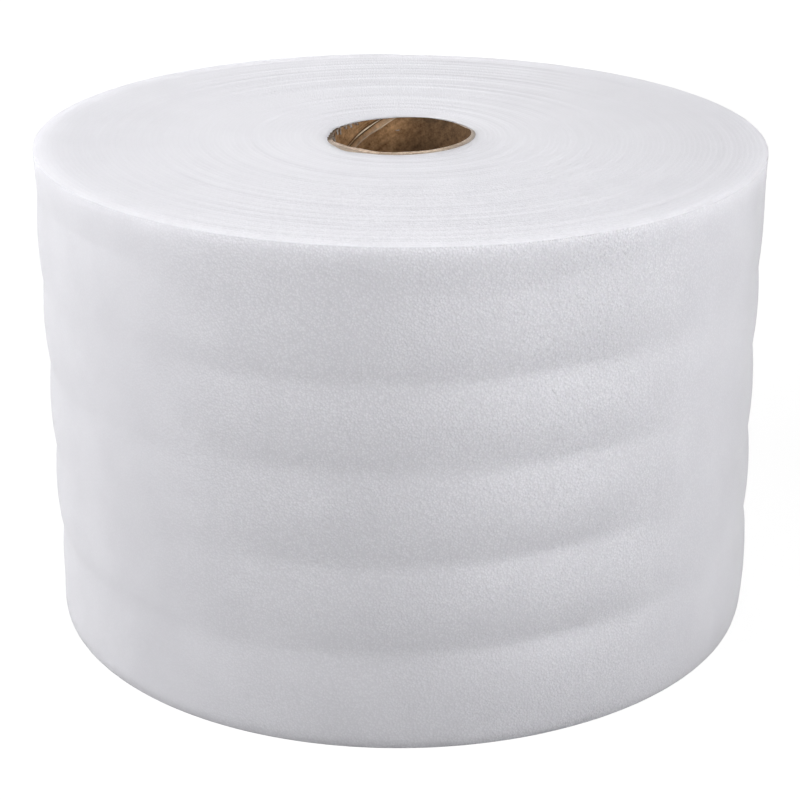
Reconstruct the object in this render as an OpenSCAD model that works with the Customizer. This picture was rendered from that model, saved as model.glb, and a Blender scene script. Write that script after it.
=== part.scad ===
// Foam wrap roll: one long sheet of thin white foam wound on a cardboard tube.
// It stands on one end. Millimetres, Z up, the tube's axis on Z and the floor at Z = 0.

/* [Foam sheet] */
// Width of the sheet, which is the height of the standing roll
roll_w = 305; // [150:5:620]
// Radius of the roll at the sheet's outer end, where it is largest
roll_r = 229; // [120:1:400]
// Thickness of one turn
sheet_t = 3.175; // [1:0.025:6.5]

/* [Bands round the side] */
// Height of the lowest groove above the floor
first_groove_z = 63.5; // [40:0.5:90]
// Height of a band between two grooves
band_h = 56; // [30:1:90]
// Depth of a groove under the fullest part of its band
groove_d = 1.4; // [0.4:0.1:3]
// Depth of the shallow waist under the top rim
waist_d = 0.8; // [0.2:0.1:2]
// Height of the rim over its waist
rim_h = 16; // [8:1:30]

/* [Turns on the end faces] */
// Turns that stand proud together at the outer rim of both faces
rim_turns = 2; // [1:1:4]
// Turns that stand or lie together as one ring of the top face
top_ring_turns = 5; // [2:1:8]
// Turns that stand or lie together as one ring of the bottom face, which the floor presses flat
foot_ring_turns = 20; // [6:1:24]
// Step from one ring to the next
ring_step = 0.5; // [0.2:0.1:1.5]

/* [Cardboard tube] */
// Radius of the bore
bore_r = 42.75; // [25:0.25:60]
// Thickness of the tube's wall
core_wall = 4; // [2:0.5:8]
// Height of the tube's inner edge over its outer edge, where the end is cut at a bevel
core_bevel = 1.2; // [0.4:0.1:2.5]

/* [Hidden] */
$fn = 96;

core_r = bore_r + core_wall;
// The outer turn is a spiral, drawn as two half circles whose centres lie this far from the axis
spiral_shift = sheet_t / 4;
waist_z = roll_w - rim_h;
rim_r = roll_r - rim_turns * sheet_t;
// Straight pieces that one band's bulge is drawn with
band_steps = 4;
// How far a cut runs past the face that it opens
past = 1;

// Places where the side is narrowest, from the floor up, each as its height and its depth
necks = concat(
    [[0, groove_d]],
    [for (z = [first_groove_z : band_h : waist_z - band_h / 2]) [z, groove_d]],
    [[waist_z, waist_d]]
);

// Share of the full bulge at the height share u of a band, fullest a little under its middle
function bulge(u) = sin(180 * pow(u, 0.9));

// Depth of the side between the necks a and b, at the height share u
function band_depth(a, b, u) = (1 - bulge(u)) * (a[1] + u * (b[1] - a[1]));

// Outline of the side of a roll of radius r, from the floor up to the rim
function side_points(r) = concat(
    [
        for (i = [0 : len(necks) - 2], j = [0 : band_steps - 1])
            let (a = necks[i], b = necks[i + 1], u = j / band_steps)
                [r - band_depth(a, b, u), a[0] + u * (b[0] - a[0])]
    ],
    [[r - waist_d, waist_z], [r, roll_w]]
);

// Half of the wound sheet, as far round as the outer turn is one half circle
module half_winding(r) {
    rotate_extrude(angle = 180)
        polygon(concat([[0, 0]], side_points(r), [[0, roll_w]]));
}

// The wound sheet, with the step of its outer end at the back
module winding() {
    translate([0, spiral_shift, 0])
        rotate([0, 0, 90])
            half_winding(roll_r - spiral_shift);
    translate([0, -spiral_shift, 0])
        rotate([0, 0, -90])
            half_winding(roll_r - 3 * spiral_shift);
}

// Every other ring of an end face, counted in from the rim and sunk from height z by one step
module sunk_rings(ring_turns, z) {
    ring_w = ring_turns * sheet_t;
    rings = floor((rim_r - core_r - sheet_t) / ring_w);
    rotate_extrude()
        for (i = [1 : 2 : rings])
            translate([rim_r - i * ring_w, z])
                square([ring_w, ring_step + past]);
}

// The foam: all its turns are one solid round the tube
module foam_roll() {
    color([0.93, 0.93, 0.95])
        difference() {
            winding();
            translate([0, 0, -past])
                cylinder(r = core_r, h = roll_w + 2 * past);
            sunk_rings(top_ring_turns, roll_w - ring_step);
            sunk_rings(foot_ring_turns, -past);
        }
}

// The tube, flush with the foam at its outer edge and standing a little proud at its bore
module core_tube() {
    color([0.48, 0.37, 0.27])
        rotate_extrude()
            polygon([
                [bore_r, 0],
                [core_r, core_bevel],
                [core_r, roll_w],
                [bore_r, roll_w + core_bevel]
            ]);
}

foam_roll();
core_tube();
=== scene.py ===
"""Foam wrap roll: a long sheet of thin white foam wound on a cardboard tube.

The roll stands on its end. Everything is in metres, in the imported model's frame: Z is up along the
tube's axis, the floor is at Z = 0 and the viewer of the photograph looks along +Y. An azimuth is 0 in
front and an angle is 0 at the back, and both grow towards the right.
"""

import logging
import math
from dataclasses import dataclass
from enum import Enum
from typing import Callable

import bmesh
import bpy
import numpy as np
from mathutils import Matrix, Vector

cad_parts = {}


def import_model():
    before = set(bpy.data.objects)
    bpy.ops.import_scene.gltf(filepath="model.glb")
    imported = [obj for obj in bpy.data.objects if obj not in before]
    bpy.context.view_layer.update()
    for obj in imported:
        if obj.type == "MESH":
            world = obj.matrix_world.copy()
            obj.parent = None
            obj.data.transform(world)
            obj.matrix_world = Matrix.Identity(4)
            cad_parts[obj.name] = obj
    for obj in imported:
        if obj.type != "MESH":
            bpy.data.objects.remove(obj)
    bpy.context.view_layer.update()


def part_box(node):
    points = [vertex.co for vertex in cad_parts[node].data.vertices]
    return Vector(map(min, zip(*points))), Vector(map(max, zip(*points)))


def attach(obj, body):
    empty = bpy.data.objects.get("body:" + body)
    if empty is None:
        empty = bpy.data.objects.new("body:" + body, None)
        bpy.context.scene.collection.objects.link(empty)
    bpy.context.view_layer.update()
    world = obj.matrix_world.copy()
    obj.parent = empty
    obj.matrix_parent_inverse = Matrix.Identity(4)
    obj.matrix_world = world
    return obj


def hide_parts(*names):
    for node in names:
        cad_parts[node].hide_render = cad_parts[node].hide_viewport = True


LOG = logging.getLogger("foam_wrap_roll")
MM = 0.001
TURN = 2 * math.pi
# How close two points are when they count as one place, and when they are merged
TOUCH = 1e-6
WELD = 0.01 * MM
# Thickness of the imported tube's wall
WALL = 4.0 * MM

Colour = tuple[float, float, float]
# An output to read from: a node, and the name or number of its socket
Wire = tuple[bpy.types.Node, str | int]
# Wires and values of a node's input sockets, by their name or number
Inputs = dict[str | int, object]
# A soft hump round the axis: its height, then its middle and its spread to each side in degrees
Hump = tuple[float, float, float]


class Slot(Enum):
    """Names of the material slots."""

    FOAM = "foam"
    BOARD = "core_board"


class Face(Enum):
    """The two finishes of a piece, by their place in its material list."""

    PLAIN = 0
    CUT = 1


# ---------------------------------------------------------------------------
# Soft forms
# ---------------------------------------------------------------------------


@dataclass(frozen=True)
class Ripples:
    """Soft unevenness made of a few seeded waves, which close after a full turn.

    Attributes:
        seed: Seed of the waves.
        count: How many waves are added up.
        round_most: Most waves in a full turn.
        along_most: Most waves in one unit along.
    """

    seed: int
    count: int
    round_most: int
    along_most: float

    def at(self, angle: np.ndarray, along: np.ndarray) -> np.ndarray:
        """Return the unevenness, from about -1 to 1.

        Args:
            angle: Angle round the axis, in radians.
            along: Place along the other direction.

        Returns:
            One number for each place.
        """
        dice = np.random.default_rng(self.seed)
        total = np.zeros(np.broadcast(angle, along).shape)
        for _ in range(self.count):
            waves = dice.integers(-self.round_most, self.round_most + 1)
            pace = dice.uniform(0.15, 1) * self.along_most
            total += np.sin(waves * angle + TURN * (pace * along + dice.random()))
        return total / math.sqrt(self.count * 2)


def half_turn(angle: np.ndarray) -> np.ndarray:
    """Return angles given in radians as degrees from -180 to 180."""
    return (np.degrees(angle) + 180) % 360 - 180


def humps(angle: np.ndarray, *rows: Hump) -> np.ndarray:
    """Return the sum of soft humps round the axis.

    Args:
        angle: Angles in radians.
        *rows: The humps.

    Returns:
        Height at each angle.
    """
    total = np.zeros_like(angle, dtype=float)
    for height, middle, spread in rows:
        away = (np.degrees(angle) - middle + 180) % 360 - 180
        total += height * np.exp(-((away / spread) ** 2))
    return total


def ramp(value: np.ndarray, start: float, length: float) -> np.ndarray:
    """Return an even climb from 0 at start to 1 at start + length, level on both sides of it."""
    return np.clip((value - start) / length, 0, 1)


# ---------------------------------------------------------------------------
# Modelling bench
# ---------------------------------------------------------------------------


class Bench:
    """Edit-mode steps on the one object that is being modelled."""

    @staticmethod
    def clear() -> None:
        """Leave edit mode and deselect every object."""
        if bpy.context.object and bpy.context.object.mode != "OBJECT":
            bpy.ops.object.mode_set(mode="OBJECT")
        bpy.ops.object.select_all(action="DESELECT")

    @staticmethod
    def take(name: str) -> bpy.types.Object:
        """Name the primitive that was just added and bake its place into its mesh.

        Args:
            name: Name for the object and its mesh.

        Returns:
            The active object, at the origin, unturned and unscaled.
        """
        piece = bpy.context.object
        piece.name = piece.data.name = name
        bpy.ops.object.transform_apply(location=True, rotation=True, scale=True)
        return piece

    @staticmethod
    def sheet(name: str, columns: int, rows: int, length: float, width: float) -> bpy.types.Object:
        """Add a flat sheet of faces, as long in X and as wide in Y as given.

        Args:
            name: Name of the sheet.
            columns: How many faces it has in X.
            rows: How many it has in Y.
            length: Its size in X.
            width: Its size in Y.

        Returns:
            The sheet.
        """
        Bench.clear()
        bpy.ops.mesh.primitive_grid_add(
            x_subdivisions=columns, y_subdivisions=rows, size=1, calc_uvs=True
        )
        bpy.ops.transform.resize(value=(length, width, 1))
        return Bench.take(name)

    @staticmethod
    def edit() -> None:
        """Enter edit mode with everything selected."""
        bpy.ops.object.mode_set(mode="EDIT")
        bpy.ops.mesh.select_mode(type="VERT")
        bpy.ops.mesh.select_all(action="SELECT")

    @staticmethod
    def outline(name: str, inner: float, outer: float, width: float) -> bpy.types.Object:
        """Draw the outline of a ring's section, behind the axis, and stay in edit mode.

        Args:
            name: Name of the piece.
            inner: Inner radius of the ring.
            outer: Outer radius.
            width: Height of the ring.

        Returns:
            The piece, which has edges only.
        """
        Bench.clear()
        middle = (0, (inner + outer) / 2, width / 2)
        bpy.ops.mesh.primitive_plane_add(size=1, location=middle, rotation=(0, math.pi / 2, 0))
        bpy.ops.transform.resize(value=(1, outer - inner, width))
        piece = Bench.take(name)
        Bench.edit()
        bpy.ops.mesh.delete(type="ONLY_FACE")
        return piece

    @staticmethod
    def pick_edges(piece: bpy.types.Object, wanted: Callable[[bmesh.types.BMEdge], bool]) -> int:
        """Select the edges that a test picks, and nothing else.

        Args:
            piece: The object in edit mode.
            wanted: Test of one edge.

        Returns:
            How many edges are selected.
        """
        bpy.ops.mesh.select_mode(type="EDGE")
        bpy.ops.mesh.select_all(action="DESELECT")
        mesh = bmesh.from_edit_mesh(piece.data)
        picked = [edge for edge in mesh.edges if wanted(edge)]
        for edge in picked:
            edge.select = True
        mesh.select_flush_mode()
        bmesh.update_edit_mesh(piece.data)
        return len(picked)

    @staticmethod
    def cut(piece: bpy.types.Object, cuts: int, wanted: Callable[[bmesh.types.BMEdge], bool]) -> None:
        """Give the edges that a test picks so many new points each."""
        Bench.pick_edges(piece, wanted)
        bpy.ops.mesh.subdivide(number_cuts=cuts)

    @staticmethod
    def level(height: float) -> Callable[[bmesh.types.BMEdge], bool]:
        """Return the test that picks the edges at a height."""
        return lambda edge: all(abs(vertex.co.z - height) < TOUCH for vertex in edge.verts)

    @staticmethod
    def spin(steps: int, angle: float) -> None:
        """Spin the whole mesh round the axis and leave edit mode.

        Args:
            steps: How many steps it takes.
            angle: How far it turns, in radians.
        """
        bpy.ops.mesh.select_all(action="SELECT")
        bpy.ops.mesh.spin(
            steps=steps, angle=angle, use_auto_merge=False, center=(0, 0, 0), axis=(0, 0, 1)
        )
        bpy.ops.object.mode_set(mode="OBJECT")

    @staticmethod
    def read(parts: bpy.types.bpy_prop_collection, name: str) -> np.ndarray:
        """Read a vector of each of a mesh's points or faces.

        Args:
            parts: The mesh's points or faces.
            name: Name of the vector.

        Returns:
            Rows of x, y, z.
        """
        flat = np.empty(len(parts) * 3)
        parts.foreach_get(name, flat)
        return flat.reshape(-1, 3)

    @staticmethod
    def coordinates(piece: bpy.types.Object) -> np.ndarray:
        """Return the mesh's points as rows of x, y, z."""
        return Bench.read(piece.data.vertices, "co")

    @staticmethod
    def round_axis(piece: bpy.types.Object) -> tuple[np.ndarray, np.ndarray, np.ndarray]:
        """Return the radius, angle and height of the mesh's points."""
        x, y, z = Bench.coordinates(piece).T
        return np.hypot(x, y), np.arctan2(x, y), z

    @staticmethod
    def lay(piece: bpy.types.Object, radius: np.ndarray, angle: np.ndarray, height: np.ndarray) -> None:
        """Move the mesh's points to a radius, angle and height each.

        Args:
            piece: The object.
            radius: Radius of each point.
            angle: Angle of each point.
            height: Height of each point.
        """
        points = np.stack([radius * np.sin(angle), radius * np.cos(angle), height], axis=1)
        piece.data.vertices.foreach_set("co", points.ravel())
        piece.data.update()

    @staticmethod
    def measure(piece: bpy.types.Object, name: str, values: np.ndarray) -> None:
        """Keep one number for each point of the mesh, as an attribute that its material reads."""
        layer = piece.data.attributes.new(name, "FLOAT", "POINT")
        layer.data.foreach_set("value", np.asarray(values, dtype=np.float32))

    @staticmethod
    def centres(piece: bpy.types.Object) -> tuple[np.ndarray, np.ndarray]:
        """Return the faces' centres and normals, as rows of x, y, z."""
        faces = piece.data.polygons
        return Bench.read(faces, "center"), Bench.read(faces, "normal")

    @staticmethod
    def ends(piece: bpy.types.Object, top: float, foot: float) -> np.ndarray:
        """Return which faces look up or down and lie over the height top or under foot."""
        centre, normal = Bench.centres(piece)
        return (np.abs(normal[:, 2]) > 0.75) & ((centre[:, 2] > top) | (centre[:, 2] < foot))

    @staticmethod
    def outwards(merge: float = 0.0) -> None:
        """Point every face of the active object outwards.

        Args:
            merge: Distance within which two points first become one, or 0 to merge none.
        """
        Bench.edit()
        if merge:
            bpy.ops.mesh.remove_doubles(threshold=merge)
        bpy.ops.mesh.normals_make_consistent(inside=False)
        bpy.ops.object.mode_set(mode="OBJECT")

    @staticmethod
    def solidify(piece: bpy.types.Object, **settings: object) -> None:
        """Give the active object's faces a thickness, by a modifier that is applied.

        Args:
            piece: The object.
            **settings: The modifier's settings.
        """
        modifier = piece.modifiers.new("Solidify", "SOLIDIFY")
        for name, value in settings.items():
            setattr(modifier, name, value)
        bpy.ops.object.modifier_apply(modifier=modifier.name)

    @staticmethod
    def paint(piece: bpy.types.Object, cut: np.ndarray, *finishes: bpy.types.Material) -> None:
        """Give the faces their finishes.

        Args:
            piece: The object.
            cut: Which faces are cut ends.
            *finishes: Finish of the plain faces, then of the cut ends.
        """
        for finish in finishes:
            piece.data.materials.append(finish)
        piece.data.polygons.foreach_set("material_index", np.where(cut, Face.CUT.value, Face.PLAIN.value))

    @staticmethod
    def smooth(angle: float) -> None:
        """Shade the active object smooth, with a hard edge past an angle in degrees."""
        bpy.ops.object.shade_smooth_by_angle(angle=math.radians(angle))


# ---------------------------------------------------------------------------
# Finishes
# ---------------------------------------------------------------------------


class Palette:
    """Lays out the nodes of one procedural material, or of the world."""

    def __init__(self, holder: bpy.types.Material | bpy.types.World) -> None:
        """Start with an empty node tree.

        Args:
            holder: The material or world.
        """
        self.holder = holder
        holder.use_nodes = True
        self.tree = holder.node_tree
        self.tree.nodes.clear()

    @classmethod
    def material(cls, name: str) -> "Palette":
        """Start a new material."""
        return cls(bpy.data.materials.new(name))

    def feed(self, node: bpy.types.Node, into: str | int, source: object) -> None:
        """Join an input socket to a wire, or set it to a number, a colour or a vector.

        Args:
            node: The node that the socket is on.
            into: Name or number of the socket.
            source: The wire or the value.
        """
        socket = node.inputs[into]
        if isinstance(source, tuple) and isinstance(source[0], bpy.types.Node):
            self.tree.links.new(source[0].outputs[source[1]], socket)
        elif socket.type == "RGBA":
            socket.default_value = (*source, 1)
        else:
            socket.default_value = source

    def add(self, kind: str, inputs: Inputs | None = None, **settings: object) -> bpy.types.Node:
        """Add a node.

        Args:
            kind: Type of the node.
            inputs: Wire or value of its input sockets.
            **settings: Its own settings.

        Returns:
            The node.
        """
        node = self.tree.nodes.new(kind)
        for name, value in settings.items():
            setattr(node, name, value)
        for into, source in (inputs or {}).items():
            self.feed(node, into, source)
        return node

    def place(self, kind: str = "Object") -> Wire:
        """Add the coordinates of a kind: Object, or the piece's own UV."""
        return self.add("ShaderNodeTexCoord"), kind

    def moved(self, source: Wire, **inputs: Colour) -> Wire:
        """Add a mapping of coordinates, with its Scale or Rotation."""
        return self.add("ShaderNodeMapping", {"Vector": source, **inputs}), "Vector"

    def noise(self, scale: float, detail: float, place: Wire | None = None) -> Wire:
        """Add a noise: features in a metre, finer layers, and coordinates if not Object's."""
        inputs = {"Scale": scale, "Detail": detail, "Vector": place or self.place()}
        return self.add("ShaderNodeTexNoise", inputs), "Fac"

    def cells(self, size: float) -> bpy.types.Node:
        """Add a Voronoi pattern whose cells are about size metres across, on Object coordinates."""
        return self.add("ShaderNodeTexVoronoi", {"Scale": 1 / size, "Vector": self.place()})

    def attribute(self, name: str) -> Wire:
        """Add the mesh's own attribute of that name."""
        return self.add("ShaderNodeAttribute", attribute_name=name), "Fac"

    def math(self, operation: str, *terms: Wire | float) -> Wire:
        """Add a Math node on wires and numbers."""
        return self.add("ShaderNodeMath", dict(enumerate(terms)), operation=operation), "Value"

    def sum(self, first: Wire, second: Wire, share: float) -> Wire:
        """Add first + share * second."""
        return self.math("MULTIPLY_ADD", second, share, first)

    def distance(self, place: Wire) -> Wire:
        """Add the distance of coordinates from their origin."""
        return self.add("ShaderNodeVectorMath", {0: place}, operation="LENGTH"), "Value"

    def remap(self, source: Wire, old: tuple[float, float], new: tuple[float, float]) -> Wire:
        """Add a clamped Map Range from the old range to the new one."""
        inputs = {"Value": source, "From Min": old[0], "From Max": old[1], "To Min": new[0], "To Max": new[1]}
        return self.add("ShaderNodeMapRange", inputs), "Result"

    def blend(self, factor: Wire, low: Colour | Wire, high: Colour | Wire) -> Wire:
        """Add a colour mix: low where the factor is 0 or less, high where it is 1 or more."""
        return self.add("ShaderNodeMix", {0: factor, 6: low, 7: high}, data_type="RGBA"), 2

    def bump(self, height: Wire, distance: float, strength: Wire | float, **under: Wire) -> Wire:
        """Add a bump with its height in metres, over another one if Normal gives it."""
        inputs = {"Height": height, "Distance": distance, "Strength": strength, **under}
        return self.add("ShaderNodeBump", inputs), "Normal"

    def looked_at(self) -> Wire:
        """Add the test of the rays that see the background: of the camera, of gloss and of glass.

        Returns:
            1 for such a ray and 0 for any other.
        """
        path = self.add("ShaderNodeLightPath")
        either = self.math("MAXIMUM", (path, "Is Camera Ray"), (path, "Is Glossy Ray"))
        return self.math("MAXIMUM", either, (path, "Is Transmission Ray"))

    def either(self, factor: Wire, low: Wire, high: Wire) -> Wire:
        """Add a mix of two shaders."""
        return self.add("ShaderNodeMixShader", {0: factor, 1: low, 2: high}), "Shader"

    def show(self, shader: Wire) -> None:
        """Join a shader to the output."""
        kind = "World" if isinstance(self.holder, bpy.types.World) else "Material"
        self.add(f"ShaderNodeOutput{kind}", {"Surface": shader})

    def surface(self, inputs: Inputs, **settings: object) -> bpy.types.Material:
        """Finish the material with a Principled shader that has these wires, values and settings."""
        self.show((self.add("ShaderNodeBsdfPrincipled", inputs, **settings), "BSDF"))
        return self.holder

    def foam(self, inputs: Inputs) -> bpy.types.Material:
        """Finish a foam material: light travels a few millimetres through it, as under its lit rim."""
        glow = {"Subsurface Weight": 0.8, "Subsurface Radius": (1.0, 1.0, 1.0), "Subsurface Scale": 22.0 * MM}
        return self.surface({**inputs, **glow}, subsurface_method="BURLEY")


@dataclass(frozen=True)
class FoamSkin:
    """The smooth face of the sheet: flattened foam cells under a thin glossy skin.

    Attributes:
        colour: Its colour on top of a cell.
        shade: Its colour between the cells.
        cell: Size of a foam cell.
        relief: Height of a cell over its walls.
        pressed: How plainly the cells stand out, where the mesh's skin_grain is 1.
        roughness: Roughness of the skin.
        glossier: How much less rough the flattest cells are, where skin_grain is highest.
        mottle: How much of the cells' colour shows.
        uneven: Height of the skin's wide unevenness.
    """

    colour: Colour = (0.93, 0.925, 0.97)
    shade: Colour = (0.78, 0.775, 0.82)
    cell: float = 1.3 * MM
    relief: float = 0.48 * MM
    pressed: float = 0.55
    roughness: float = 0.48
    glossier: float = 0.27
    mottle: float = 0.95
    uneven: float = 1.2 * MM

    def build(self) -> bpy.types.Material:
        """Make the material.

        Returns:
            The material.
        """
        mix = Palette.material("foam_skin")
        cells = mix.cells(self.cell)
        fine, patchy = mix.noise(900, 2), mix.noise(26, 3)
        stretched = mix.attribute("skin_grain")
        # Colour: shade between the cells, as far as the grain shows, and wide clouds
        grain = mix.sum((cells, "Distance"), fine, 0.55)
        cloudy = mix.remap(patchy, (0.35, 0.65), (0.0, 0.22))
        gaps = mix.remap(grain, (0.35, 0.85), (0.0, 1.0))
        faint = 0.2 * self.mottle
        shown = mix.remap(stretched, (0.2, 1.0), (faint, self.mottle))
        shaded = mix.math("MULTIPLY_ADD", gaps, shown, cloudy)
        evened = mix.remap(shown, (faint, self.mottle), (0.4 * self.mottle, 0.0))
        # Gloss: some of the cells are flatter than the rest
        flat_cells = mix.remap((cells, "Color"), (0.62, 0.9), (0.0, 1.0))
        glossier = mix.remap(stretched, (0.3, 1.5), (0.0, -self.glossier))
        # Relief: domed cells over the wide unevenness
        domes = mix.sum(fine, mix.math("POWER", (cells, "Distance"), 2.0), -1.6)
        plainly = mix.remap(stretched, (0.12, 1.5), (0.0, 1.5 * self.pressed))
        soft = mix.bump(patchy, self.uneven, 0.35)
        return mix.foam(
            {
                "Base Color": mix.blend(mix.sum(shaded, evened, 1.0), self.colour, self.shade),
                "Roughness": mix.math("MULTIPLY_ADD", flat_cells, glossier, self.roughness),
                "Normal": mix.bump(domes, self.relief, plainly, Normal=soft),
                "Specular IOR Level": 0.5,
            }
        )


@dataclass(frozen=True)
class FoamCutEdge:
    """The cut edges of the turns, side by side: matt foam, with a narrow painted shade between two turns.

    Attributes:
        colour: Its colour.
        shade: Its colour in the gap between two turns, a painted shade.
        pressed: Painted highlight: its lighter colour in a halo on the turns next to the tube.
        cell: Size of a foam cell that the knife has opened.
        relief: Height of the grain.
        dust: How much colour the loose dust has, where the mesh's edge_dust is 1.
    """

    colour: Colour = (0.865, 0.86, 0.905)
    shade: Colour = (0.76, 0.755, 0.80)
    pressed: Colour = (0.985, 0.98, 1.0)
    cell: float = 1.1 * MM
    relief: float = 0.16 * MM
    dust: float = 0.3

    def build(self) -> bpy.types.Material:
        """Make the material.

        Returns:
            The material.
        """
        mix = Palette.material("foam_cut_edge")
        grain = mix.sum((mix.cells(self.cell), "Distance"), mix.noise(1100, 2), 0.8)
        # Painted shade in the gap between two turns, fainter where the turns are pressed flat
        thin = mix.remap(mix.attribute("turn_gap_shade"), (0.55, 1.0), (0.0, 0.35))
        cloudy = mix.remap(mix.noise(30, 2), (0.4, 0.6), (0.0, 0.12))
        dusted = mix.attribute("edge_dust")
        loose = mix.remap(dusted, (0.0, 1.0), (0.0, self.dust))
        specks = mix.remap(mix.noise(520, 2), (0.38, 0.62), (-1.0, 1.0))
        dusty = mix.math("MULTIPLY_ADD", loose, specks, mix.sum(cloudy, grain, 0.18))
        plain = mix.blend(mix.sum(dusty, thin, 1.0), self.colour, self.shade)
        rough = mix.remap(dusted, (0.0, 1.0), (0.45, 1.0))
        return mix.foam(
            {
                # Painted highlight: a lighter halo on the turns next to the tube
                "Base Color": mix.blend(mix.attribute("halo_light_by_tube"), plain, self.pressed),
                "Roughness": mix.remap(grain, (0.3, 1.1), (0.52, 0.66)),
                "Normal": mix.bump(grain, self.relief, rough),
                "Specular IOR Level": 0.25,
            }
        )


@dataclass(frozen=True)
class TubeBoard:
    """Brown board, mottled and streaked along the plies.

    Attributes:
        dark: Colour of its darkest fibres.
        light: Colour of its lightest fibres.
        cream: Colour of a ply's cut edge: paler paper, and also a painted highlight where the edge catches
            the light.
        crease: Painted shade in the crease beside that edge.
        relief: Height of its fibres.
    """

    dark: Colour = (0.115, 0.054, 0.02)
    light: Colour = (0.43, 0.255, 0.128)
    cream: Colour = (0.95, 0.80, 0.62)
    crease: Colour = (0.035, 0.016, 0.006)
    relief: float = 0.35 * MM

    def build(self) -> bpy.types.Material:
        """Make the material.

        Returns:
            The material.
        """
        mix = Palette.material("tube_board")
        mottle = mix.noise(260, 5)
        along = mix.moved(mix.place("UV"), Scale=(38.0, 95.0, 1.0), Rotation=(0.0, 0.0, 0.15))
        # Mottling, wide blotches, specks and streaks
        streaked = mottle
        layers = (mix.noise(55, 3), 0.6), (mix.noise(780, 3), 0.75), (mix.noise(1.0, 4.0, along), 0.6)
        for layer, share in layers:
            streaked = mix.sum(streaked, layer, share)
        mottled = mix.blend(mix.remap(streaked, (1.1, 1.85), (0.0, 1.0)), self.dark, self.light)
        # Painted light and shade on the bore's face: the board is scaled lighter or darker by the mesh's
        # attribute
        painted_lit = mix.remap(mix.attribute("board_painted_light"), (-1.0, 2.0), (0.0, 3.0))
        plain = mix.add("ShaderNodeVectorMath", {0: mottled, "Scale": painted_lit}, operation="SCALE"), "Vector"
        # Painted light and shade along the ply's seam: the cut edge is paler paper and also a painted
        # highlight, the ridge beside it a painted highlight, the crease and the step under the edge painted
        # shade
        ply = mix.attribute("ply_seam_shading")
        edged = mix.blend(ply, plain, self.cream)
        return mix.surface(
            {
                "Base Color": mix.blend(mix.remap(ply, (0.0, -1.0), (0.0, 1.0)), edged, self.crease),
                "Roughness": mix.remap(mottle, (0.3, 0.7), (0.72, 0.88)),
                "Normal": mix.bump(streaked, self.relief, 0.7),
                "Specular IOR Level": 0.25,
            }
        )


@dataclass(frozen=True)
class TubeCutEnd:
    """The tube's cut end, where its plies show as pale rings.

    Attributes:
        inner: Radius of the innermost ply.
        wall: Thickness of the wall.
        light: Colour of a ply.
        dark: Colour of the glue between two plies.
        edge: Painted shade on the outer plies, towards the foam.
        worn: Colour where the end has been rubbed.
        torn: Colour where the plies have been torn away, and painted shade all along the back under the
            foam's overhang.
        plies: How many plies the wall has.
        relief: Height of the plies.
    """

    inner: float
    wall: float
    light: Colour = (0.96, 0.79, 0.64)
    dark: Colour = (0.43, 0.31, 0.21)
    edge: Colour = (0.25, 0.20, 0.16)
    worn: Colour = (0.47, 0.43, 0.40)
    torn: Colour = (0.10, 0.065, 0.04)
    plies: int = 6
    relief: float = 0.3 * MM

    def build(self) -> bpy.types.Material:
        """Make the material.

        Returns:
            The material.
        """
        mix = Palette.material("tube_cut_end")
        radius = mix.distance(mix.moved(mix.place(), Scale=(1.0, 1.0, 0.0)))
        rings = mix.remap(radius, (self.inner, self.inner + self.wall), (0.0, self.plies * TURN))
        speckle = mix.noise(520, 3)
        ringed = mix.sum(speckle, mix.math("SINE", rings), 0.24)
        uneven = mix.sum(ringed, mix.noise(75, 3), 0.8)
        ends = mix.blend(mix.remap(uneven, (0.62, 1.15), (0.0, 1.0)), self.dark, self.light)
        # Painted shade on the outer half of the wall, then grey where it is rubbed, and dark where it is torn
        # and as painted shade along the back
        outer = self.inner + 0.5 * self.wall, self.inner + 0.8 * self.wall
        colour = mix.blend(mix.remap(radius, outer, (0.0, 0.6)), ends, self.edge)
        colour = mix.blend(mix.remap(mix.attribute("lip_worn"), (0.0, 1.0), (0.0, 0.6)), colour, self.worn)
        # Torn plies on the left and painted shade along the back, broken up by specks
        torn_and_shaded = mix.sum(mix.attribute("lip_torn_and_shaded"), speckle, 1.4)
        return mix.surface(
            {
                "Base Color": mix.blend(mix.remap(torn_and_shaded, (1.0, 1.5), (0.0, 1.0)), colour, self.torn),
                "Roughness": 0.85,
                "Normal": mix.bump(ringed, self.relief, 0.8),
                "Specular IOR Level": 0.25,
            }
        )


@dataclass(frozen=True)
class TornPaper:
    """Grey paper fibres, laid bare where the tube's face has torn.

    Attributes:
        grey: Colour of the bare fibres.
        brown: Colour where the brown face is left on.
        relief: Height of the fibres.
    """

    grey: Colour = (0.56, 0.52, 0.48)
    brown: Colour = (0.17, 0.10, 0.06)
    relief: float = 0.3 * MM

    def build(self) -> bpy.types.Material:
        """Make the material.

        Returns:
            The material.
        """
        mix = Palette.material("torn_paper")
        both = mix.sum(mix.noise(620, 4), mix.noise(260, 3), 1.2)
        return mix.surface(
            {
                "Base Color": mix.blend(mix.remap(both, (0.95, 1.25), (0.0, 1.0)), self.brown, self.grey),
                "Roughness": 0.9,
                "Normal": mix.bump(both, self.relief, 0.8),
            }
        )


# ---------------------------------------------------------------------------
# The foam
# ---------------------------------------------------------------------------


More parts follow.
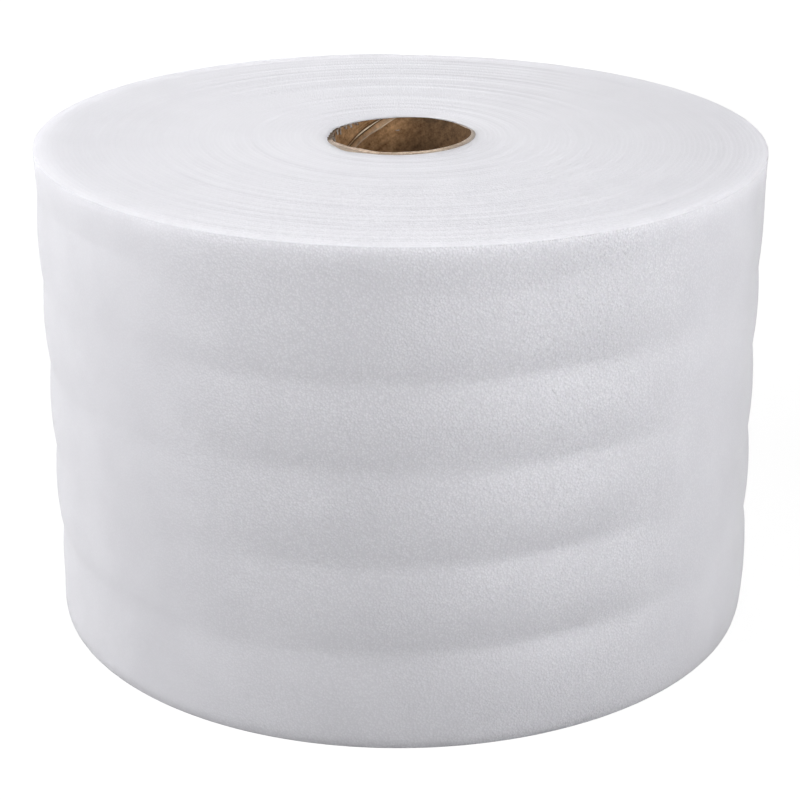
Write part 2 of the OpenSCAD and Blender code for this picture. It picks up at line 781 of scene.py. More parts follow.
@dataclass(frozen=True)
class Mouth:
    """How the tube's mouth sits in the roll: a little askew, swollen on the left of the front.

    Attributes:
        askew: How much higher than the mean it is on the right.
        worn: How much lower its lip is where it is torn, all along the back.
        deeper: Where the torn lip is lower still, as a share of that.
        dents: Shallow dents in the lip.
        swollen: How far the lip has been beaten out over the foam.
    """

    askew: float = 1.0 * MM
    worn: float = 0.65 * MM
    deeper: tuple[Hump, ...] = ((0.6, -45, 35), (0.6, 60, 16))
    dents: tuple[Hump, ...] = ((0.5 * MM, -12, 20), (0.26 * MM, 180, 40))
    swollen: tuple[Hump, ...] = ((2.4 * MM, -136, 11), (0.408 * MM, -113, 8))

    def lift(self, angle: np.ndarray) -> np.ndarray:
        """Return how much higher the mouth is at an angle."""
        return self.askew * np.sin(angle)

    def dented(self, angle: np.ndarray) -> np.ndarray:
        """Return how much lower the lip is at an angle.

        Args:
            angle: Angle of each point.

        Returns:
            Depth in metres.
        """
        degrees = half_turn(angle)
        back = ramp(degrees, -98, 8) * ramp(degrees, 84, -12)
        return self.worn * back * (1 + humps(angle, *self.deeper)) + humps(angle, *self.dents)

    def spread(self, angle: np.ndarray) -> np.ndarray:
        """Return how far the lip's outer edge is pushed out at an angle."""
        return humps(angle, *self.swollen)


@dataclass(frozen=True)
class Groove:
    """A shallow groove round the roll's side, a little out of level.

    Attributes:
        height: Its mean height over the floor.
        lean: How much higher it is on the right than the mean.
        rise: How much higher it is in front than the mean.
        depth: Its depth.
        slip: How far the band under it has slipped to the right.
        pressed: Where it is deeper, as a share of its depth, and less deep where that is negative.
    """

    height: float
    lean: float
    rise: float
    depth: float
    slip: float
    pressed: tuple[Hump, ...] = (
        (0.5, 15, 22),
        (0.7, 28, 10),
        (0.4, 90, 20),
        (0.5, -90, 22),
        (-0.45, 52, 14),
        (-0.5, 1, 11),
        (-0.2, -18, 14),
        (-0.75, -45, 22),
    )

    def height_at(self, azimuth: np.ndarray) -> np.ndarray:
        """Return its height at an azimuth."""
        wander = 0.8 * np.sin(3 * azimuth + self.height * 90) + 0.6 * np.sin(5 * azimuth + self.height * 400)
        return self.height + self.lean * np.sin(azimuth) + self.rise * np.cos(azimuth) + wander * MM

    def depth_at(self, azimuth: np.ndarray) -> np.ndarray:
        """Return its depth at an azimuth, deepest in front and a little to the right."""
        uneven = 0.1 * np.sin(2 * azimuth + self.height * 60) + 0.08 * np.sin(5 * azimuth + self.height * 17)
        return self.depth * np.clip(1 + humps(azimuth, *self.pressed) + uneven, 0.15, 2)


@dataclass
class FoamWinding:
    """The wound sheet, turn by turn, with its outer end at the back.

    Attributes:
        width: Width of the sheet, which is the roll's height.
        rim: Radius of the roll at the sheet's outer end.
        core: Radius of the tube that it is wound on.
        sheet: Thickness of the sheet.
        grooves: Grooves round the side, from the lowest up.
        waist: Shallow waist under the top rim.
        sags: Where the waist lies lower.
        waist_pressed: Where the waist is deeper, as a share of its depth.
        mouth: How the tube's mouth sits in the roll.
        foot_depth: How far the side has drawn in at the floor.
        foot_round: Height of the rounding at the floor.
        rim_cut: How far the rim's corner is cut back, inwards and down.
        steps: Steps in a full turn.
        top_points: Points across one turn on the top face.
        foot_points: Points across one turn on the bottom face.
        side_cuts: Cuts of the side's height, made one after the other.
        gap_depth: Depth of the gap between two turns.
        drift: Height of the turns' rise and fall, in groups and one by one.
        wander: How far a turn wanders from its even place.
        flattened: Where the turns' edges are pressed flat, as a share.
        foam_lip: How far the foam leans over the tube's torn lip.
        lip_deep: How far down the bore it leans.
        bore_rows: Depths of the bore's two rows of points under the top.
    """

    width: float
    rim: float
    core: float
    sheet: float = 3.175 * MM
    grooves: tuple[Groove, ...] = (
        Groove(62.0 * MM, 3.0 * MM, -0.5 * MM, 1.5 * MM, 1.5 * MM),
        Groove(119.0 * MM, 4.5 * MM, -1.5 * MM, 1.4 * MM, 1.0 * MM),
        Groove(176.0 * MM, 5.0 * MM, -2.0 * MM, 1.45 * MM, 0.65 * MM),
        Groove(230.0 * MM, 4.5 * MM, -3.5 * MM, 1.3 * MM, 0.6 * MM),
    )
    waist: Groove = Groove(285.0 * MM, 4.0 * MM, -1.0 * MM, 0.95 * MM, 0.75 * MM)
    sags: tuple[Hump, ...] = ((7 * MM, 10, 20), (4 * MM, -90, 40))
    waist_pressed: tuple[Hump, ...] = ((1.3, 29, 18), (-0.9, -25, 18))
    mouth: Mouth = Mouth()
    foot_depth: float = 0.9 * MM
    foot_round: float = 6.0 * MM
    rim_cut: tuple[float, float] = (0.33 * MM, 0.088 * MM)
    steps: int = 240
    top_points: int = 3
    foot_points: int = 2
    side_cuts: tuple[int, int] = (7, 12)
    gap_depth: float = 0.2 * MM
    drift: tuple[float, float] = (0.14 * MM, 0.16 * MM)
    wander: float = 0.22 * MM
    flattened: tuple[Hump, ...] = ((0.55, 90, 50), (0.45, -90, 55), (0.4, 180, 35))
    foam_lip: float = 1.9 * MM
    lip_deep: float = 1.6 * MM
    bore_rows: tuple[float, float] = (1.5 * MM, 4.5 * MM)
    name: str = "foam_winding"

    def __post_init__(self) -> None:
        """Work out how many turns the sheet makes."""
        self.pitch = self.sheet
        # The roll gains one pitch over its last turn, so the count is settled in two rounds
        for _ in range(2):
            self.first_rim = self.rim - self.pitch
            self.turns = round((self.first_rim - self.core) / self.pitch)
            self.pitch = (self.first_rim - self.core) / self.turns
        self.sweep = -(TURN - 0.002)

    def build(self) -> bpy.types.Object:
        """Make the winding and dress it.

        Returns:
            The finished piece.
        """
        piece = self._section()
        Bench.spin(self.steps, self.sweep)
        self._wind(piece)
        self._close(piece)
        self._dress(piece)
        return piece

    def _section(self) -> bpy.types.Object:
        """Draw the outline of the sheet's section, from the tube to the rim.

        Returns:
            The piece, which has edges only.
        """
        piece = Bench.outline(self.name, self.core, self.first_rim, self.width)
        for height, points in ((self.width, self.top_points), (0.0, self.foot_points)):
            for cuts in (self.turns - 1, points - 1):
                Bench.cut(piece, cuts, Bench.level(height))
        outside, inside = self.first_rim - TOUCH, self.core + TOUCH
        for cuts in self.side_cuts:
            Bench.cut(piece, cuts, lambda edge: all(point.co.y > outside for point in edge.verts))
        Bench.cut(piece, 2, lambda edge: all(point.co.y < inside for point in edge.verts))
        return piece

    def _wind(self, piece: bpy.types.Object) -> None:
        """Turn the closed rings into one long spiral, and shape the side, the top and the foot.

        Args:
            piece: The closed rings.
        """
        radius, angle, z = Bench.round_axis(piece)
        turned = np.clip(np.round(np.mod(angle, TURN) / -self.sweep * self.steps) / self.steps, 0, 1)
        swept = turned * TURN
        azimuth = math.pi - swept
        across = (radius - self.core) / self.pitch
        # How many turns of the sheet lie between the tube and each point
        laid = across + turned
        grown = self.core + laid * self.pitch
        rim_at = self.first_rim + turned * self.pitch
        top, foot = z > self.width - TOUCH, z < TOUCH
        side, bore = radius > self.first_rim - WELD, radius < self.core + WELD
        flat = ~side & ~bore
        new_r = np.where(side, rim_at - self.side_depth(azimuth, z), np.where(bore, self.core, grown))
        # The ends: turns lie a little higher and lower, with a gap between two of them
        on_turn = np.abs(across - np.round(across)) < 0.05
        plain = 1 - humps(azimuth, *self.flattened)
        from_rim = rim_at - grown
        inside = ramp(from_rim, 0, 4 * self.pitch) * ramp(grown, self.core, 3 * self.pitch)
        drift = self._end_drift(swept, laid) * plain * inside
        gap = self.gap_depth * on_turn
        new_z = np.where(flat & top, z + drift - gap * plain, z)
        new_z = np.where(flat & foot, z + 0.5 * (np.abs(drift) + gap), new_z)
        new_r = new_r + flat * self.wander * Ripples(31, 9, 3, 0.45).at(swept, laid) * inside
        # The foot draws in with the side over its last few turns
        pull = self.side_depth(azimuth, np.zeros_like(z)) * ramp(from_rim, 6 * self.pitch, -6 * self.pitch)
        new_r = new_r - np.where(flat & foot, pull, 0)
        # Near the tube the foam leans over the torn lip, makes room for the swollen one and follows the mouth
        lean = self.lean_over(swept)
        upper = np.where(z > self.width / 2, *self.bore_rows)
        new_z = np.where(bore & ~top & ~foot, self.width - upper, new_z)
        near = ramp(new_z, self.width - self.lip_deep, self.lip_deep)
        share = np.where(bore, near, ramp(laid, 2.5, -2.5) * top)
        new_r = new_r - lean * share
        new_z = new_z - 0.2 * np.clip(lean, 0, None) * share * top
        new_z = new_z + self.mouth.lift(swept) * np.where(bore, share, top * ramp(laid, 14, -14) ** 2)
        corner = side & top
        new_r, new_z = new_r - corner * self.rim_cut[0], new_z - corner * self.rim_cut[1]

        Bench.lay(piece, new_r, swept, new_z)
        # Where the painted shade in the gaps between turns lies
        Bench.measure(piece, "turn_gap_shade", flat * on_turn * (0.55 + 0.45 * plain))
        # Painted highlight next to the tube, brightest in front of it and behind it
        Bench.measure(piece, "halo_light_by_tube", top * ramp(laid, 1.1, -1.1) * np.abs(np.cos(swept)) ** 0.6)
        Bench.measure(piece, "skin_grain", self._grain(azimuth, z))
        Bench.measure(piece, "edge_dust", top * self._dust(azimuth, laid))

    @staticmethod
    def _dust(azimuth: np.ndarray, laid: np.ndarray) -> np.ndarray:
        """Return how much loose foam dust lies on the top: most in front, away from the tube."""
        return humps(azimuth, (1, 5, 45)) * ramp(laid, 12, 14) + humps(azimuth, (0.2, 180, 45))

    @staticmethod
    def _grain(azimuth: np.ndarray, z: np.ndarray) -> np.ndarray:
        """Return how plainly the skin's cells stand out: the sheet is stretched smooth on both sides.

        Args:
            azimuth: Azimuth of each point.
            z: Height over the floor.

        Returns:
            1 for plain foam, less where it is smoother and more where it is coarser.
        """
        degrees = half_turn(azimuth)
        left = 0.86 / (1 + np.exp((degrees + 31) / 6))
        right = 0.74 / (1 + np.exp((46 - degrees) / 6))
        low = (0.15 + humps(azimuth, (0.2, -8, 24))) * ramp(z, 120 * MM, -80 * MM)
        high = 0.33 * ramp(z, 170 * MM, 80 * MM)
        return np.clip(1 - left - right - low + (0.3 + high) * humps(azimuth, (1, 27, 13)), 0.12, 1.5)

    def lean_over(self, angle: np.ndarray) -> np.ndarray:
        """Return how far the foam leans in over the tube at an angle.

        Args:
            angle: Angle of each point.

        Returns:
            Length in metres, negative where the foam is pushed out.
        """
        degrees = half_turn(angle)
        uneven = 1 + 0.1 * np.sin(9 * angle + 1) + 0.08 * np.sin(23 * angle)
        behind = 0.5 * ramp(degrees, -78, 14) * ramp(degrees, 34, -20)
        leaning = behind + humps(angle, (-0.25, -38, 8), (0.5, 60, 14), (1, -84, 17))
        return self.foam_lip * uneven * leaning - self.mouth.spread(angle)

    def _end_drift(self, angle: np.ndarray, laid: np.ndarray) -> np.ndarray:
        """Return how much higher than the rest a turn lies on an end face."""
        groups, single = self.drift
        return groups * np.sin(TURN * laid / 10 + 0.6) + single * Ripples(12, 14, 2, 0.42).at(angle, laid)

    def side_depth(self, azimuth: np.ndarray, z: np.ndarray) -> np.ndarray:
        """Return how far the side lies inside its fullest radius.

        Args:
            azimuth: Azimuth of each point.
            z: Height over the floor, on the plain section.

        Returns:
            Depth in metres.
        """
        heights = [np.zeros_like(z)] + [groove.height_at(azimuth) for groove in (*self.grooves, self.waist)]
        depths = [np.full_like(z, self.foot_depth)] + [groove.depth_at(azimuth) for groove in self.grooves]
        # The waist is deepest on the left, shallow in front, and sags where it is pressed on the right
        heights[-1] = heights[-1] - humps(azimuth, *self.sags)
        waisted = 0.85 - 0.55 * np.sin(azimuth) - 0.35 * np.cos(azimuth)
        depths.append(self.waist.depth * (waisted + humps(azimuth, *self.waist_pressed)))
        # The side is fullest between two grooves
        depth = np.zeros_like(z)
        for low, high, deep_low, deep_high in zip(heights, heights[1:], depths, depths[1:]):
            share = ramp(z, low, high - low)
            bulge = np.sin(math.pi * share**0.95) ** 0.9
            here = (z >= low) & (z < high)
            depth = np.where(here, (1 - bulge) * (deep_low + share * (deep_high - deep_low)), depth)
        flare = ramp(z, heights[-1], self.width - heights[-1])
        depth = np.where(z >= heights[-1], depths[-1] * (1 - flare) ** 1.3, depth)
        away = ramp(z, 0, 12 * MM) * ramp(z, self.width, -8 * MM)
        depth = depth + 0.32 * MM * (1 + Ripples(5, 12, 5, 9.0).at(azimuth, z)) * away
        foot, near_foot = ramp(z, self.foot_round, -self.foot_round), ramp(z, 30 * MM, -30 * MM)
        depth = depth + 0.6 * MM * foot**2.2 + 1.2 * MM * np.sin(azimuth) * near_foot**2
        # Each band has slipped a little to the right of the one over it
        slipped = self.waist.slip
        for groove in self.grooves:
            slipped = slipped + groove.slip * np.clip(0.5 - (z - groove.height_at(azimuth)) / (14 * MM), 0, 1)
        return depth - slipped * np.sin(azimuth) ** 3

    def _close(self, piece: bpy.types.Object) -> None:
        """Join each turn to the next, and close the sheet's outer end with its step.

        Args:
            piece: The open spiral.
        """

        def at_tail(edge: bmesh.types.BMEdge) -> bool:
            """Tell whether an open edge runs up the outer end's step.

            Args:
                edge: The edge.

            Returns:
                Whether it does.
            """
            one, other = (vertex.co for vertex in edge.verts)
            upright = abs(one.z - other.z) > abs(one.y - other.y)
            behind = max(abs(one.x), abs(other.x)) < TOUCH and min(one.y, other.y) > self.first_rim - 8 * MM
            return edge.is_boundary and upright and behind

        Bench.outwards(WELD)
        Bench.edit()
        chain = Bench.pick_edges(piece, at_tail)
        bpy.ops.mesh.bridge_edge_loops()
        bpy.ops.mesh.select_all(action="SELECT")
        bpy.ops.mesh.fill_holes(sides=0)
        Bench.outwards()
        LOG.info("the step of the outer end has %d edges", chain)

    def _dress(self, piece: bpy.types.Object) -> None:
        """Give the faces their finishes, and the piece its body.

        Args:
            piece: The closed winding.
        """
        ends = Bench.ends(piece, self.width - 2 * MM, 1 * MM)
        Bench.paint(piece, ends, FoamSkin().build(), FoamCutEdge().build())
        Bench.smooth(50)
        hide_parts("foam_roll")
        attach(piece, "root")


# ---------------------------------------------------------------------------
# The tube
# ---------------------------------------------------------------------------


@dataclass(frozen=True)
class Scrap:
    """A scrap of paper that hangs where the lip has torn. Its sizes are in millimetres.

    Attributes:
        degrees: Its angle, in degrees.
        drop: Depth of its root under the lip.
        wide: Its width.
        long: Its length.
        curl: How far its tip curls in.
    """

    degrees: float
    drop: float
    wide: float
    long: float
    curl: float


@dataclass
class CoreTube:
    """The spiral-wound board tube: its wall, its innermost ply and its torn lip.

    Attributes:
        width: Height of the tube's outer edge.
        bore: Radius of the bore.
        wall: Thickness of the wall with all its plies.
        bevel: Height of the inner edge over the outer edge.
        mouth: How its mouth sits in the roll.
        ply: Thickness of the innermost ply.
        pitch: Height that a ply's seam climbs in one turn.
        seam: Height of the seam at the back, straight behind the axis.
        steps: Steps in a full turn.
        worn_down: How far under the lip the wall is out of round.
        lip_shape: How far the lip's inner edge is pushed out of round.
        rubbed: Where the lip is rubbed grey, as a share.
        rows: Rows of points across the lining's strip, less one.
        lower_rows: Rows at the strip's lower edge: height over it in millimetres, and tone, below 0 for
            painted shade under the edge that lies over it.
        upper_rows: Rows at its upper edge, which lies over the lower one: depth under the edge and lift
        off the bore, both in millimetres, and tone, which is 1 for cream, -1 for the crease's painted shade,
        and between 0 and 1 for the ridge's painted highlight.
        scraps: The scraps of torn paper.
        scrap_thick: Thickness of a scrap.
    """

    width: float
    bore: float
    wall: float
    bevel: float
    mouth: Mouth = Mouth()
    ply: float = 0.6 * MM
    pitch: float = 170.0 * MM
    seam: float = 315.3 * MM
    steps: int = 180
    worn_down: float = 26 * MM
    lip_shape: tuple[Hump, ...] = (
        (-1.2 * MM, -146, 8),
        (1.9 * MM, -110, 8),
        (1.3 * MM, 92, 22),
        (0.9 * MM, 135, 24),
        (1.2 * MM, -168, 12),
    )
    rubbed: tuple[Hump, ...] = ((1, 92, 34), (0.5, -118, 16))
    rows: int = 34
    lower_rows: tuple[tuple[float, float], ...] = ((0.0, -1.0), (0.4, -0.8), (0.75, -0.35), (1.3, 0.0))
    upper_rows: tuple[tuple[float, float, float], ...] = (
        (7.5, 0.0, 0.0),
        (6.6, 0.42, 0.6),
        (5.7, 0.36, 0.2),
        (4.0, 0.36, 0.1),
        (2.2, 0.36, 0.0),
        (1.75, 0.2, -1.0),
        (1.15, 0.2, -1.0),
        (0.85, 0.55, 1.0),
        (0.0, 0.5, 1.0),
    )
    scraps: tuple[Scrap, ...] = (
        Scrap(-106, -0.6, 2.6, 2.4, 0.5),
        Scrap(-98, -0.9, 3.4, 4.4, 0.9),
        Scrap(-91, -0.5, 2.2, 2.2, 0.4),
        Scrap(-85, -1.0, 3.0, 3.8, 0.7),
        Scrap(-78, -0.8, 2.4, 4.8, 1.0),
        Scrap(-71, -1.0, 3.4, 2.8, 0.5),
        Scrap(-64, -0.8, 2.4, 3.4, 0.7),
        Scrap(-56, -0.9, 3.6, 2.0, 0.4),
        Scrap(-49, -0.8, 2.2, 2.2, 0.4),
        Scrap(-43, -0.8, 3.4, 1.5, 0.3),
        Scrap(-3, 7.0, 3.0, 0.5, 0.1),
    )
    scrap_thick: float = 0.28 * MM

    def build(self) -> list[bpy.types.Object]:
        """Make the tube's pieces and dress them.

        Returns:
            The finished pieces.
        """
        board = TubeBoard().build()
        end = TubeCutEnd(self.bore, self.wall).build()
        wall = self._wall(board, end)
        pieces = [wall, self._lining(board, end), self._torn_lip(TornPaper().build())]
        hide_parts("core_tube")
        for piece in pieces:
            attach(piece, "root")
        return pieces

    def _wall(self, board: bpy.types.Material, end: bpy.types.Material) -> bpy.types.Object:
        """Spin the wall's section round the axis and crush its lip.

        Args:
            board: Finish of its faces.
            end: Finish of its cut ends.

        Returns:
            The wall.
        """
        inner, outer = self.bore + self.ply, self.bore + self.wall
        piece = Bench.outline("core_wall", inner, outer, self.width)
        for height in (self.width, 0.0):
            Bench.cut(piece, 9, Bench.level(height))
        Bench.cut(piece, 11, lambda edge: abs(edge.verts[0].co.z - edge.verts[1].co.z) > MM)
        Bench.spin(self.steps, TURN)
        Bench.outwards(WELD)

        radius, angle, z = Bench.round_axis(piece)
        # Place across the wall, from 0 outside to 1 inside
        share = (outer - radius) / (outer - inner)
        top, foot = z > self.width - TOUCH, z < TOUCH
        plies = 0.14 * MM * np.sin(share * math.pi * 5) ** 2
        rounded = 0.9 * MM * ramp(share, 0.24, -0.24) ** 1.6 * (1 - humps(angle, (0.8, -136, 14)))
        lift = self.bevel * share * 0.85 + plies - rounded + self._crush(angle, share)
        new_z = np.where(top, z + lift, np.where(foot, z + self.bevel * (1 - share), z))
        pushed = self._swell(angle) * (0.25 + 0.75 * share) + self.mouth.spread(angle) * (1 - share)
        Bench.lay(piece, radius + self._near_top(z) * pushed, angle, new_z)
        self._wear_and_shade(piece, angle)
        Bench.paint(piece, np.abs(Bench.centres(piece)[1][:, 2]) > 0.45, board, end)
        Bench.smooth(40)
        return piece

    def _near_top(self, z: np.ndarray) -> np.ndarray:
        """Return how much of the lip's shape a height takes: all at the top, none well under it."""
        return ramp(z, self.width - self.worn_down, self.worn_down) ** 2

    def _crush(self, angle: np.ndarray, share: np.ndarray) -> np.ndarray:
        """Return how far the lip has been pressed down or lifted.

        Args:
            angle: Angle of each point.
            share: Place across the wall, from 0 outside to 1 inside.

        Returns:
            Height in metres.
        """
        even = 0.12 * MM * Ripples(3, 8, 14, 0.0).at(angle, share)
        teeth = np.clip(np.sin(angle * 47) + 0.6 * np.sin(angle * 29 + 1), 0, 2) / 1.6
        drop = humps(angle, (1.6 * MM, -76, 26)) * teeth * (1 - 0.35 * share)
        pinch = humps(angle, (0.5 * MM, -133, 13)) * np.sin(share * math.pi)
        return even - drop + pinch + self.mouth.lift(angle) - self.mouth.dented(angle)

    def _wear_and_shade(self, piece: bpy.types.Object, angle: np.ndarray) -> None:
        """Keep how much the lip is rubbed grey, and how much it is torn dark on the left and darkened as
        painted shade along the back, for the cut end's finish.

        Args:
            piece: The wall or its lining.
            angle: Angle of each point.
        """
        degrees = np.degrees(angle)
        Bench.measure(piece, "lip_worn", np.clip(humps(angle, *self.rubbed), 0, 1))
        # Dark along the back: torn plies on the left, painted shade under the foam's overhang elsewhere
        Bench.measure(piece, "lip_torn_and_shaded", ramp(degrees, -112, 14) * ramp(degrees, 74, -30))

    def _swell(self, angle: np.ndarray) -> np.ndarray:
        """Return how far the lip's inner edge has been pushed out of round."""
        soft = 0.15 * MM * Ripples(8, 6, 5, 0.0).at(angle, np.zeros_like(angle))
        return humps(angle, *self.lip_shape) + soft

    def _lining(self, board: bpy.types.Material, end: bpy.types.Material) -> bpy.types.Object:
        """Roll the innermost ply on to the bore, as one long strip whose edges overlap.

        Args:
            board: Finish of its face.
            end: Finish of its cut edges.

        Returns:
            The lining.
        """
        climb = self.pitch / (TURN * self.bore)
        length = (self.width + 12 * MM + self.pitch) / climb
        columns = round(length / (4.2 * MM))
        piece = Bench.sheet("core_lining", columns, self.rows, length, self.pitch)
        self._roll_up(piece, climb, length)

        # Cut the strip off at the floor and at the mouth
        Bench.edit()
        for level, sign in ((0.15 * MM, 1), (self.width + self.bevel - 0.1 * MM, -1)):
            bpy.ops.mesh.select_all(action="SELECT")
            bpy.ops.mesh.bisect(plane_co=(0, 0, level), plane_no=(0, 0, sign), clear_inner=True)
        Bench.outwards()
        self._face_axis(piece)
        Bench.solidify(piece, thickness=self.ply, offset=-1.0, use_even_offset=True)

        radius, angle, z = Bench.round_axis(piece)
        edge = ramp(z, self.width + self.bevel - 5 * MM, 5 * MM)
        new_z = z + edge * self._crush(angle, np.ones_like(radius))
        Bench.lay(piece, radius + self._swell(angle) * self._near_top(z), angle, new_z)
        self._wear_and_shade(piece, angle)
        Bench.paint(piece, Bench.ends(piece, self.width - 4 * MM, 2 * MM), board, end)
        Bench.smooth(35)
        return piece

    def _roll_up(self, piece: bpy.types.Object, climb: float, length: float) -> None:
        """Roll the flat strip up into the bore.

        Args:
            piece: The strip, along X.
            climb: Height that it climbs for each metre along the bore.
            length: Its length.
        """
        along, across = Bench.coordinates(piece).T[:2]
        arc = (self.width + 8 * MM + self.pitch - self.seam) / climb - (along + length / 2)
        row = np.round((across / self.pitch + 0.5) * self.rows).astype(int)
        # The rows are close together at the overlap and even elsewhere
        lower, upper = np.array(self.lower_rows), np.array(self.upper_rows)
        plain = self.rows + 1 - len(lower) - len(upper)
        below, band = lower[:, 0] * MM, self.pitch - upper[:, 0] * MM
        above = np.concatenate([below, np.linspace(below[-1], band[0], plain + 2)[1:-1], band])[row]
        lift = np.concatenate([np.zeros(len(lower) + plain), upper[:, 1]])[row] * MM
        tone = np.concatenate([lower[:, 1], np.zeros(plain), upper[:, 2]])[row]
        angle = arc / self.bore
        # The ply's edge and the ridge under it sag a little behind
        sag = humps(angle, (1.0 * MM, -28, 8)) * (row > self.rows - 6)
        sag = sag + humps(angle, (1.6 * MM, -16, 9)) * (row > self.rows - 9) * (row < self.rows - 5)
        height = self.seam + climb * arc + above - self.pitch - sag
        Bench.lay(piece, self.bore + 0.05 * MM - lift, angle, height)
        # Painted light and shade along the seam, with the cut edge's paler colour
        Bench.measure(piece, "ply_seam_shading", tone * self._seam_shows(angle, tone))
        # Painted light and shade on the bore's face: lighter on the left, darker on the right and deeper down
        Bench.measure(piece, "board_painted_light", self._painted_light(angle, height))

    @staticmethod
    def _seam_shows(angle: np.ndarray, tone: np.ndarray) -> np.ndarray:
        """Return how plainly the seam's tones show: its cream edge, the ridge's painted highlight and the
        painted shade.

        Args:
            angle: Angle, over all the strip's turns.
            tone: Tone of the strip's row: 1 for the cream edge, between 0 and 1 for the ridge's painted
                highlight, below 0 for painted shade.

        Returns:
            Share of the tone. The cream edge fades out near the lip and lower down.
        """
        degrees = np.degrees(angle)
        cream = np.clip((degrees + 46) / 7, 0.15, 1) * np.clip((-18 - degrees) / 5, 0.1, 1)
        uneven = 0.9 + 0.2 * np.sin(degrees * 0.9) * np.sin(degrees * 0.37 + 1)
        ridge = uneven + humps(angle, (0.7, -15, 9))
        return np.where(tone > 0.7, cream * uneven, np.where(tone > 0, ridge, 1.0))

    def _painted_light(self, angle: np.ndarray, height: np.ndarray) -> np.ndarray:
        """Return how much lighter or darker than plain board the bore's face is painted, as painted light and
        shade.

        Args:
            angle: Angle, over all the strip's turns.
            height: Height over the floor.

        Returns:
            0 for plain board. It is painted lighter on the left and just under the mouth behind, where light
            falls, and painted darker on the right, deeper down behind, just under the edge on the right and
            in teeth under the torn lip, where shade falls.
        """
        degrees = half_turn(angle)
        depth = (self.width + self.bevel - height) / MM
        # Painted light on the left and just under the mouth behind; painted shade on the right, deeper down
        # behind and just under the edge on the right
        beside = 0.98 / (1 + np.exp((np.where(degrees < -110, degrees + 360, degrees) - 3) / 9))
        behind = humps(angle, (0.6, -12, 15)) * np.exp(-(((depth - 7) / 5.5) ** 2))
        deep = humps(angle, (0.3, 0, 30)) * ramp(depth, 15, 4)
        shaded = humps(angle, (0.35, 22, 30)) * ramp(depth, 3, -3)
        # Painted shade in teeth just under the torn lip on the left
        teeth = np.clip(1.5 * np.sin(21 * angle), 0, 1) * np.clip(1.6 - depth / 3, 0, 1)
        teeth_shade = humps(angle, (1.1, -84, 26)) * teeth
        return -0.52 + beside + behind - deep - shaded - teeth_shade

    @staticmethod
    def _face_axis(piece: bpy.types.Object) -> None:
        """Turn an open strip's faces towards the axis, if they look away from it.

        Args:
            piece: The strip.
        """
        centre, normal = Bench.centres(piece)
        if float(np.sum(centre[:, :2] * normal[:, :2])) > 0:
            Bench.edit()
            bpy.ops.mesh.flip_normals()
            bpy.ops.object.mode_set(mode="OBJECT")

    def _torn_lip(self, paper: bpy.types.Material) -> bpy.types.Object:
        """Make the scraps of paper that hang where the lip has torn.

        Args:
            paper: Their finish.

        Returns:
            The scraps, as one piece.
        """
        made = []
        dice = np.random.default_rng(17)
        for count, torn in enumerate(self.scraps):
            wide, long = torn.wide * MM, torn.long * MM
            scrap = Bench.sheet(f"torn_scrap_{count}", 5, 5, wide, long)
            across, along = Bench.coordinates(scrap).T[:2]
            down = 0.5 - along / long
            narrow = 1 - 0.6 * down + 0.2 * dice.standard_normal(len(down))
            angle = math.radians(torn.degrees) + across * narrow / self.bore
            angle = angle + dice.uniform(-0.06, 0.06) * down
            curled = torn.curl * MM * down**2 + 0.2 * MM * dice.random(len(down))
            frayed = 0.08 * long * dice.standard_normal(len(down))
            height = self.width - (0.9 + torn.drop) * MM - down * long + frayed + self.mouth.lift(angle)
            Bench.lay(scrap, self.bore - 0.1 * MM - curled, angle, height)
            self._face_axis(scrap)
            Bench.solidify(scrap, thickness=self.scrap_thick, offset=0.0)
            made.append(scrap)
        Bench.clear()
        for scrap in made:
            scrap.select_set(True)
        bpy.context.view_layer.objects.active = made[0]
        bpy.ops.object.join()
        piece = bpy.context.object
        piece.name = piece.data.name = "torn_lip"
        piece.data.materials.append(paper)
        Bench.smooth(40)
        return piece


# ---------------------------------------------------------------------------
# Studio
# ---------------------------------------------------------------------------


@dataclass(frozen=True)
class SoftBox:
    """A square studio light, aimed at the roll.

    Attributes:
        name: Its name.
        azimuth: Its direction in degrees, 0 in front and 90 on the right.
        elevation: Its height in degrees over the floor.
        distance: Its distance from the roll's middle.
        size: Its side.
        power: Its power in watts.
    """

    name: str
    azimuth: float
    elevation: float
    distance: float
    size: float
    power: float

    def build(self, aim: Vector) -> None:
        """Hang the light.

        Args:
            aim: Place that it is aimed at.
        """
        Bench.clear()
        turn, tilt = math.radians(self.azimuth), math.radians(self.elevation)
        away = Vector((math.sin(turn) * math.cos(tilt), -math.cos(turn) * math.cos(tilt), math.sin(tilt)))
        bpy.ops.object.light_add(type="AREA", location=aim + away * self.distance)
        light = bpy.context.object
        light.name = light.data.name = self.name
        light.rotation_euler = away.to_track_quat("Z", "Y").to_euler()
        light.data.shape = "SQUARE"
        light.data.size = self.size
        light.data.energy = self.power
        light.visible_camera = False


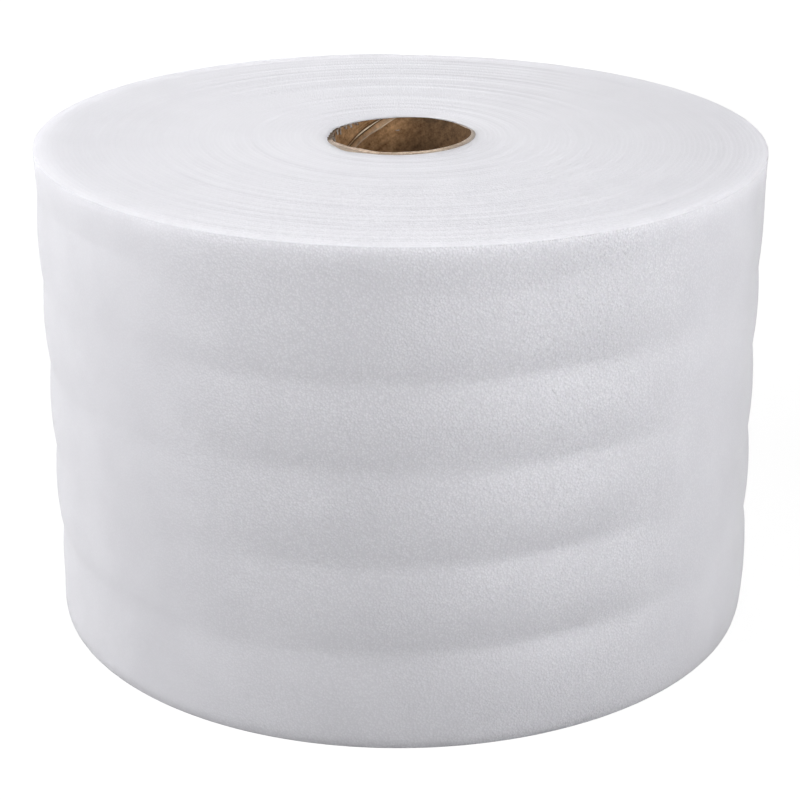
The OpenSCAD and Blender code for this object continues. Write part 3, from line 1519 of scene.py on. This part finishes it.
@dataclass(frozen=True)
class Studio:
    """White floor and background, soft lights and the photograph's camera.

    Attributes:
        boxes: The lights.
        ambient: Level of the even light from all round.
        floor_size: Side of the floor.
        floor_grey: How much of the light the floor sends back to the roll.
        floor_glow: Level at which the floor shows to the camera, before its own shade.
        floor_shade: How much of the light, and so of the roll's shadow, it shows to the camera.
        well: Radius inside which the floor lies in the tube's dark and doesn't glow.
        eye: Place of the camera.
        pitch: How far it looks down, in degrees.
        yaw: How far it looks to the right, in degrees.
        roll: How far it is tilted, in degrees.
        lens: Its focal length in millimetres.
        sensor: Width of its sensor in millimetres.
    """

    boxes: tuple[SoftBox, ...] = (
        SoftBox("box_left", -85, 22, 2.4, 1.0, 31.0),
        SoftBox("box_right", 85, 22, 2.4, 1.0, 13.0),
        SoftBox("box_near", 35, 16, 1.0, 0.4, 3.1),
        SoftBox("box_front_left", -46, 46, 2.4, 0.5, 21.0),
        SoftBox("box_front_right", 36, 44, 2.4, 0.5, 5.5),
        SoftBox("box_behind", -170, 45, 1.9, 1.0, 4.4),
        SoftBox("box_back", 180, 3, 2.4, 0.8, 30.0),
    )
    ambient: float = 0.06
    floor_size: float = 12.0
    floor_grey: float = 0.2
    floor_glow: float = 0.9
    floor_shade: float = 0.16
    well: float = 45.0 * MM
    eye: tuple[float, float, float] = (0.0, -1.2585, 0.6399)
    pitch: float = 22.2153
    yaw: float = 0.0249
    roll: float = 0.3337
    lens: float = 92.93
    sensor: float = 36.0

    def build(self, aim: Vector) -> None:
        """Set up the studio.

        Args:
            aim: Middle of the roll.
        """
        Bench.clear()
        self._floor()
        self._world()
        for box in self.boxes:
            box.build(aim)
        self._camera()

    def _floor(self) -> None:
        """Lay the floor, which shows white and keeps the roll's shadow."""
        bpy.ops.mesh.primitive_plane_add(size=self.floor_size, location=(0, 0, 0))
        floor = Bench.take("floor")
        mix = Palette.material("floor_paper")
        plain, shaded = (
            (mix.add("ShaderNodeBsdfDiffuse", {"Color": (grey,) * 3}), "BSDF")
            for grey in (self.floor_grey, self.floor_shade)
        )
        glow = mix.add("ShaderNodeEmission", {"Color": (1, 1, 1), "Strength": self.floor_glow}), "Emission"
        shown = mix.add("ShaderNodeAddShader", {0: shaded, 1: glow}), "Shader"
        outside = mix.math("GREATER_THAN", mix.distance(mix.place()), self.well)
        mix.show(mix.either(mix.math("MULTIPLY", mix.looked_at(), outside), plain, shown))
        floor.data.materials.append(mix.holder)

    def _world(self) -> None:
        """Light the roll evenly from all round, and show white behind it."""
        bpy.context.scene.world = bpy.data.worlds.new("studio")
        mix = Palette(bpy.context.scene.world)
        even, white = (
            (mix.add("ShaderNodeBackground", {"Color": (1, 1, 1), "Strength": level}), "Background")
            for level in (self.ambient, 1.0)
        )
        mix.show(mix.either(mix.looked_at(), even, white))

    def _camera(self) -> None:
        """Place the photograph's camera."""
        bpy.ops.object.camera_add()
        camera = bpy.context.object
        camera.name = camera.data.name = "photo_camera"
        camera.data.lens = self.lens
        camera.data.sensor_width = self.sensor
        turned = (
            Matrix.Rotation(-math.radians(self.yaw), 4, "Z")
            @ Matrix.Rotation(math.radians(90 - self.pitch), 4, "X")
            @ Matrix.Rotation(math.radians(self.roll), 4, "Z")
        )
        camera.matrix_world = Matrix.Translation(self.eye) @ turned
        bpy.context.scene.camera = camera
        bpy.context.scene.view_settings.view_transform = "Standard"


def main() -> None:
    """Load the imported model, dress it and set up the studio."""
    logging.basicConfig(level=logging.INFO, format="%(name)s: %(message)s")
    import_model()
    foam_low, foam_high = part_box("foam_roll")
    tube_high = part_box("core_tube")[1]

    winding = FoamWinding(width=foam_high.z, rim=foam_high.y, core=tube_high.x)
    foam = winding.build()
    pitch = winding.pitch / MM
    LOG.info("%s: %d turns of %.3f mm, %d faces", foam.name, winding.turns, pitch, len(foam.data.polygons))
    tube = CoreTube(width=foam_high.z, bore=tube_high.x - WALL, wall=WALL, bevel=tube_high.z - foam_high.z)
    for piece in tube.build():
        LOG.info("%s: %d faces", piece.name, len(piece.data.polygons))
    Studio().build((foam_low + foam_high) / 2)

    Bench.clear()


if __name__ == "__main__":
    main()
